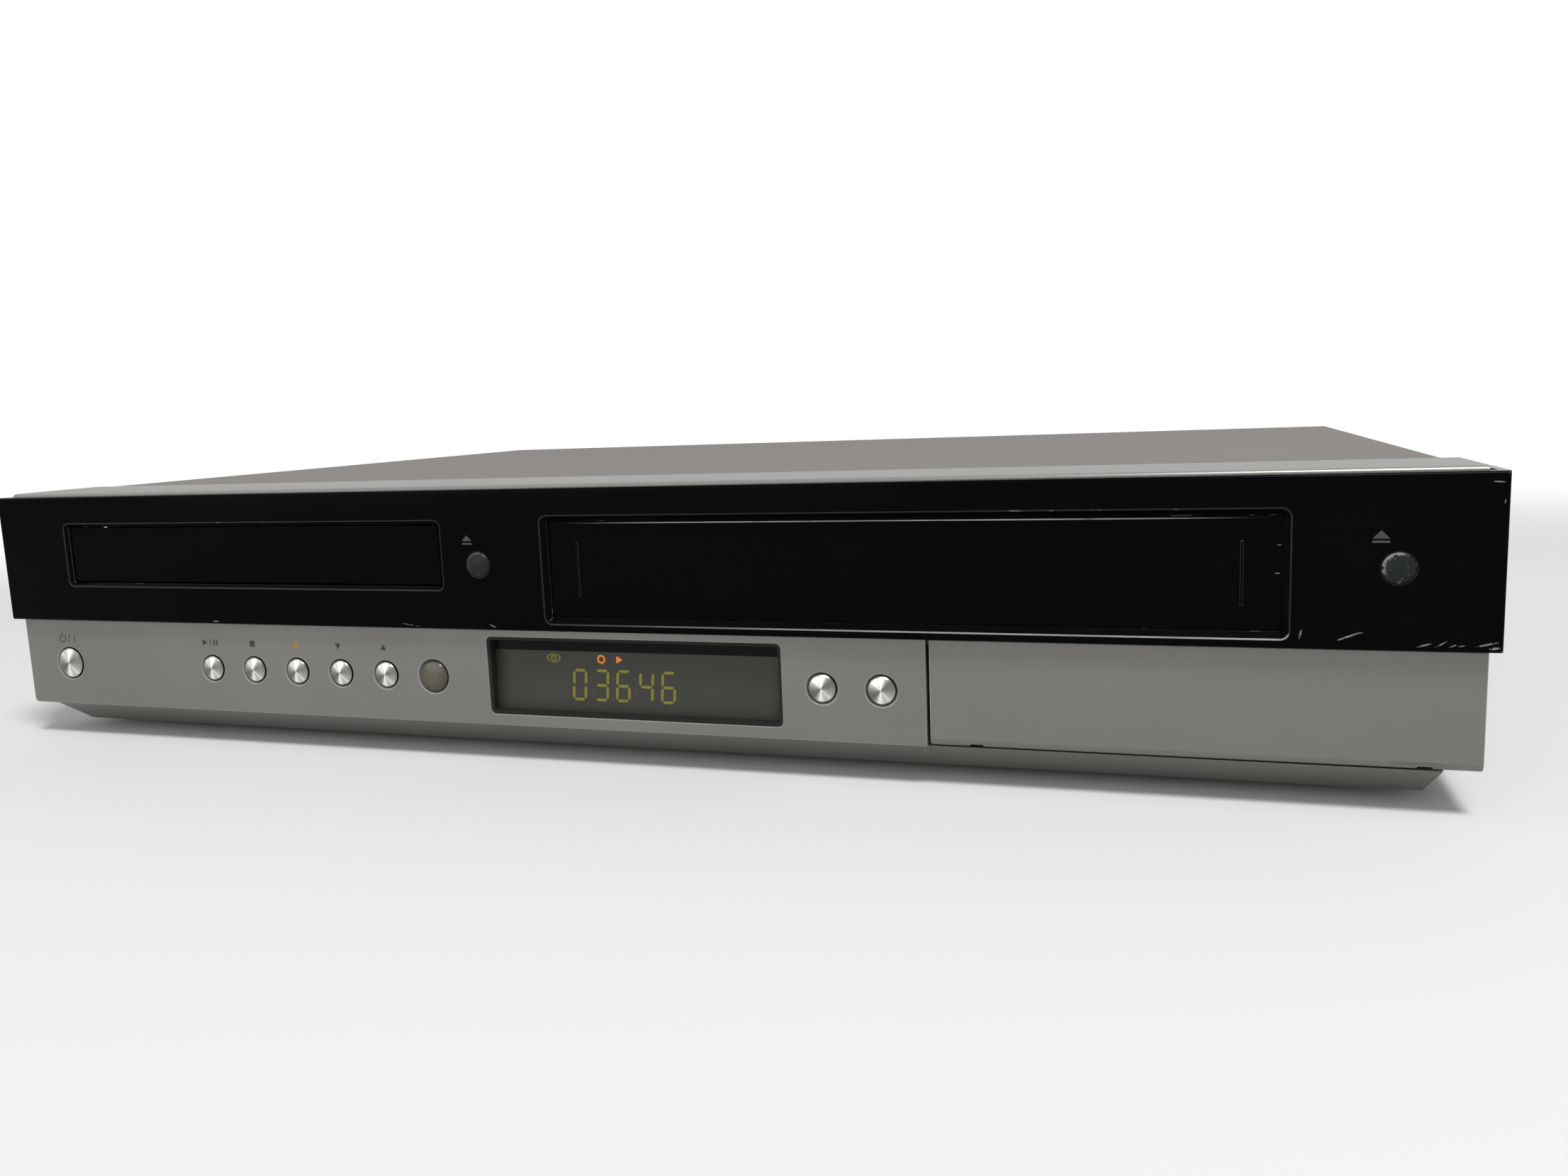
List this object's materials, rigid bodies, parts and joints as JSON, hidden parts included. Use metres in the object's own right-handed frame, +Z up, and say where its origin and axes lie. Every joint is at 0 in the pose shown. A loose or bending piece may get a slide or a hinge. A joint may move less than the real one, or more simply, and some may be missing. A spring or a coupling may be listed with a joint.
{
  "type": "disc and cassette combo player",
  "caption": "Low case with a black front, a sliding disc tray, a cassette slot with a hinged flap, push buttons, a clock display and a flip-down door over front sockets.",
  "frame": {"origin": "middle of the bounding box at the feet", "axes": "+X to the right seen from the front, +Y to the rear, +Z up"},
  "size_m": [0.43, 0.3248, 0.0795],
  "materials": {
    "gloss_black": "high-gloss moulded, light scratches",
    "silver_plastic": "silver-painted moulding",
    "dark_lens": "smoked clear lens",
    "spun_metal": "spun face",
    "bronze_lens": "translucent bronze dome",
    "dark_button": "satin, worn edge",
    "circuit_board": "solder mask",
    "power_board": "phenolic board",
    "power_parts": "wound and sleeved parts",
    "display_glass": "glass display panel",
    "painted_cover": "fine textured paint",
    "plated_steel": "zinc-plated sheet",
    "foot_rubber": "matte",
    "rear_paint": "matte black paint",
    "screw_steel": "blackened steel",
    "black_moulding": "moulded",
    "white_moulding": "natural acetal",
    "cast_metal": "die cast",
    "bright_steel": "ground steel",
    "drum_metal": "fine turned",
    "roller_rubber": "ground rubber",
    "motor_can": "drawn steel can"
  },
  "bodies": {
    "unit": {"black_fascia": "gloss_black", "front_bezel": "silver_plastic", "display_window": "dark_lens", "front_board": "circuit_board", "display_module": "display_glass", "top_cover": "painted_cover", "bottom_chassis": "plated_steel", "feet": "foot_rubber", "rear_panel": "rear_paint", "case_screws": "screw_steel", "drive_frame": "black_moulding", "drive_bridge": "plated_steel", "traverse": "plated_steel", "sled_rods": "bright_steel", "deck_base": "plated_steel", "deck_side_rails": "plated_steel", "lower_drum": "drum_metal", "tape_posts": "bright_steel", "tape_heads": "plated_steel", "small_motors": "motor_can", "main_board": "circuit_board", "power_board": "power_board", "power_parts": "power_parts", "front_sockets": "black_moulding", "scart_sockets": "black_moulding", "phono_sockets": "black_moulding", "tuner": "plated_steel", "mains_inlet": "black_moulding", "fan_frame": "black_moulding"},
    "disc_tray": {"disc_tray": "black_moulding", "tray_door": "gloss_black"},
    "tray_gear": {"tray_gear": "white_moulding"},
    "turntable": {"turntable": "white_moulding"},
    "disc_clamper": {"disc_clamper": "white_moulding"},
    "pickup_sled": {"pickup_sled": "cast_metal"},
    "lead_screw": {"lead_screw": "bright_steel"},
    "cassette_flap": {"cassette_flap": "gloss_black"},
    "input_door": {"input_door": "silver_plastic"},
    "holder_carriage": {"holder_carriage": "plated_steel"},
    "cassette_holder": {"cassette_holder": "plated_steel"},
    "head_drum": {"head_drum": "drum_metal"},
    "capstan": {"capstan": "bright_steel"},
    "pinch_arm": {"pinch_arm": "plated_steel"},
    "pinch_roller": {"pinch_roller": "roller_rubber"},
    "supply_reel": {"supply_reel": "white_moulding"},
    "take_up_reel": {"take_up_reel": "white_moulding"},
    "supply_guide": {"supply_guide": "cast_metal"},
    "take_up_guide": {"take_up_guide": "cast_metal"},
    "fan_rotor": {"fan_rotor": "black_moulding"},
    "power_button": {"power_button": "spun_metal"},
    "play_button": {"play_button": "spun_metal"},
    "stop_button": {"stop_button": "spun_metal"},
    "record_button": {"record_button": "spun_metal"},
    "program_down_button": {"program_down_button": "spun_metal"},
    "program_up_button": {"program_up_button": "spun_metal"},
    "dubbing_button": {"dubbing_button": "bronze_lens"},
    "source_button": {"source_button": "spun_metal"},
    "scan_button": {"scan_button": "spun_metal"},
    "disc_eject_button": {"disc_eject_button": "dark_button"},
    "cassette_eject_button": {"cassette_eject_button": "dark_button"}
  },
  "joints": [
    {"name": "power_press", "type": "slide", "parent": "unit", "child": "power_button", "axis": [0, 1, 0], "range_m": [0, 0.0008], "stiffness_N_per_m": 400},
    {"name": "play_press", "type": "slide", "parent": "unit", "child": "play_button", "axis": [0, 1, 0], "range_m": [0, 0.0008], "stiffness_N_per_m": 400},
    {"name": "stop_press", "type": "slide", "parent": "unit", "child": "stop_button", "axis": [0, 1, 0], "range_m": [0, 0.0008], "stiffness_N_per_m": 400},
    {"name": "record_press", "type": "slide", "parent": "unit", "child": "record_button", "axis": [0, 1, 0], "range_m": [0, 0.0008], "stiffness_N_per_m": 400},
    {"name": "program_down_press", "type": "slide", "parent": "unit", "child": "program_down_button", "axis": [0, 1, 0], "range_m": [0, 0.0008], "stiffness_N_per_m": 400},
    {"name": "program_up_press", "type": "slide", "parent": "unit", "child": "program_up_button", "axis": [0, 1, 0], "range_m": [0, 0.0008], "stiffness_N_per_m": 400},
    {"name": "dubbing_press", "type": "slide", "parent": "unit", "child": "dubbing_button", "axis": [0, 1, 0], "range_m": [0, 0.0008], "stiffness_N_per_m": 400},
    {"name": "source_press", "type": "slide", "parent": "unit", "child": "source_button", "axis": [0, 1, 0], "range_m": [0, 0.0008], "stiffness_N_per_m": 400},
    {"name": "scan_press", "type": "slide", "parent": "unit", "child": "scan_button", "axis": [0, 1, 0], "range_m": [0, 0.0008], "stiffness_N_per_m": 400},
    {"name": "disc_eject_press", "type": "slide", "parent": "unit", "child": "disc_eject_button", "axis": [0, 1, 0], "range_m": [0, 0.0008], "stiffness_N_per_m": 400},
    {"name": "cassette_eject_press", "type": "slide", "parent": "unit", "child": "cassette_eject_button", "axis": [0, 1, 0], "range_m": [0, 0.0008], "stiffness_N_per_m": 400},
    {"name": "tray_slide", "type": "slide", "parent": "unit", "child": "disc_tray", "axis": [0, -1, 0], "range_m": [0, 0.135]},
    {"name": "tray_gear_turn", "type": "hinge", "parent": "unit", "child": "tray_gear", "pos_m": [-0.07525, -0.1416, 0.0524], "axis": [0, 0, 1], "range_deg": [-778.5, 5]},
    {"name": "turntable_spin", "type": "hinge", "parent": "unit", "child": "turntable", "pos_m": [-0.11925, -0.0876, 0.0539], "axis": [0, 0, 1], "continuous": true},
    {"name": "clamper_spin", "type": "hinge", "parent": "unit", "child": "disc_clamper", "pos_m": [-0.11925, -0.0876, 0.0604], "axis": [0, 0, 1], "continuous": true},
    {"name": "sled_slide", "type": "slide", "parent": "unit", "child": "pickup_sled", "axis": [0, 1, 0], "range_m": [0, 0.031]},
    {"name": "lead_screw_turn", "type": "hinge", "parent": "unit", "child": "lead_screw", "pos_m": [-0.10225, -0.0476, 0.0464], "axis": [0, 1, 0], "range_deg": [-5, 3725]},
    {"name": "flap_hinge", "type": "hinge", "parent": "unit", "child": "cassette_flap", "pos_m": [0.07675, -0.1564, 0.0724], "axis": [1, 0, 0], "range_deg": [0, 88], "stiffness_Nm_per_rad": 0.02, "springref_deg": -8.59},
    {"name": "input_door_hinge", "type": "hinge", "parent": "unit", "child": "input_door", "pos_m": [0.1505, -0.1566, 0.0132], "axis": [1, 0, 0], "range_deg": [0, 90]},
    {"name": "carriage_slide", "type": "slide", "parent": "unit", "child": "holder_carriage", "axis": [0, 1, 0], "range_m": [0, 0.07]},
    {"name": "holder_drop", "type": "slide", "parent": "holder_carriage", "child": "cassette_holder", "axis": [0, 0, -1], "range_m": [0, 0.013]},
    {"name": "head_drum_spin", "type": "hinge", "parent": "unit", "child": "head_drum", "pos_m": [0.07675, 0.0734, 0.027], "axis": [0, 0.0872, 0.9962], "continuous": true},
    {"name": "capstan_spin", "type": "hinge", "parent": "unit", "child": "capstan", "pos_m": [0.13875, 0.0444, 0.0228], "axis": [0, 0, 1], "continuous": true},
    {"name": "pinch_arm_turn", "type": "hinge", "parent": "unit", "child": "pinch_arm", "pos_m": [0.16475, 0.0534, 0.03], "axis": [0, 0, 1], "range_deg": [0, 31.8]},
    {"name": "pinch_roller_spin", "type": "hinge", "parent": "pinch_arm", "child": "pinch_roller", "pos_m": [0.14648, 0.06153, 0.033], "axis": [0, 0, 1], "continuous": true},
    {"name": "supply_reel_spin", "type": "hinge", "parent": "unit", "child": "supply_reel", "pos_m": [0.03075, -0.0256, 0.0228], "axis": [0, 0, 1], "continuous": true},
    {"name": "take_up_reel_spin", "type": "hinge", "parent": "unit", "child": "take_up_reel", "pos_m": [0.12275, -0.0256, 0.0228], "axis": [0, 0, 1], "continuous": true},
    {"name": "supply_guide_slide", "type": "slide", "parent": "unit", "child": "supply_guide", "axis": [-0.3166, 0.9486, 0], "range_m": [0, 0.0378]},
    {"name": "take_up_guide_slide", "type": "slide", "parent": "unit", "child": "take_up_guide", "axis": [0.3166, 0.9486, 0], "range_m": [0, 0.0378]},
    {"name": "fan_spin", "type": "hinge", "parent": "unit", "child": "fan_rotor", "pos_m": [-0.135, 0.1484, 0.049], "axis": [0, 1, 0], "continuous": true}
  ],
  "couplings": [
    {"joint": "tray_gear_turn", "follows": "tray_slide", "rad_per_m": -100},
    {"joint": "lead_screw_turn", "follows": "sled_slide", "rad_per_m": 2094.4},
    {"joint": "take_up_guide_slide", "follows": "supply_guide_slide", "ratio": 1}
  ]
}
